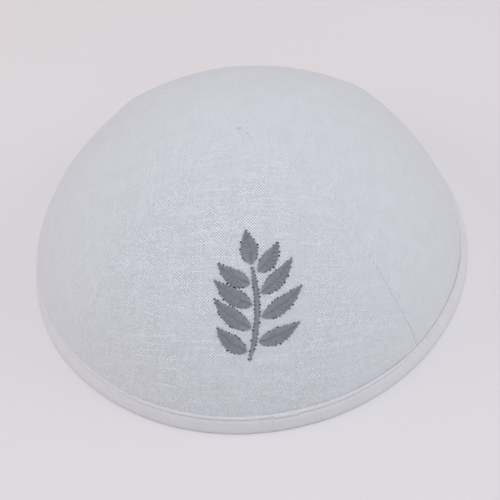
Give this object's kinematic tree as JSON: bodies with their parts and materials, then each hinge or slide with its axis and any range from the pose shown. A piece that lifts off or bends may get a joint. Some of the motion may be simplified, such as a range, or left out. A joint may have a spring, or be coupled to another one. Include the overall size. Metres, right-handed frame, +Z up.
{
  "type": "kippah skullcap",
  "caption": "Shallow round linen skullcap sewn from curved gores, with a folded rim binding and a small embroidered leafy sprig on its front gore.",
  "frame": {"origin": "middle of the flat circle that the rim rests on", "axes": "+Z up through the crown's apex, -Y out of the front gore with the sprig, +X to the wearer's left"},
  "size_m": [0.1748, 0.1748, 0.063],
  "materials": {
    "crown_linen": "matt plain-woven white linen with light slubs",
    "binding_linen": "matt plain-woven white linen, folded and topstitched",
    "satin_thread": "grey satin stitch with a soft sheen along the threads"
  },
  "bodies": {
    "root": {"panel_front": "crown_linen", "panel_right": "crown_linen", "panel_back": "crown_linen", "panel_left": "crown_linen", "rim_binding": "binding_linen", "sprig_stem": "satin_thread", "sprig_leaf_1": "satin_thread", "sprig_leaf_2": "satin_thread", "sprig_leaf_3": "satin_thread", "sprig_leaf_4": "satin_thread", "sprig_leaf_5": "satin_thread", "sprig_leaf_6": "satin_thread", "sprig_leaf_7": "satin_thread", "sprig_leaf_8": "satin_thread", "sprig_leaf_9": "satin_thread"}
  },
  "joints": []
}
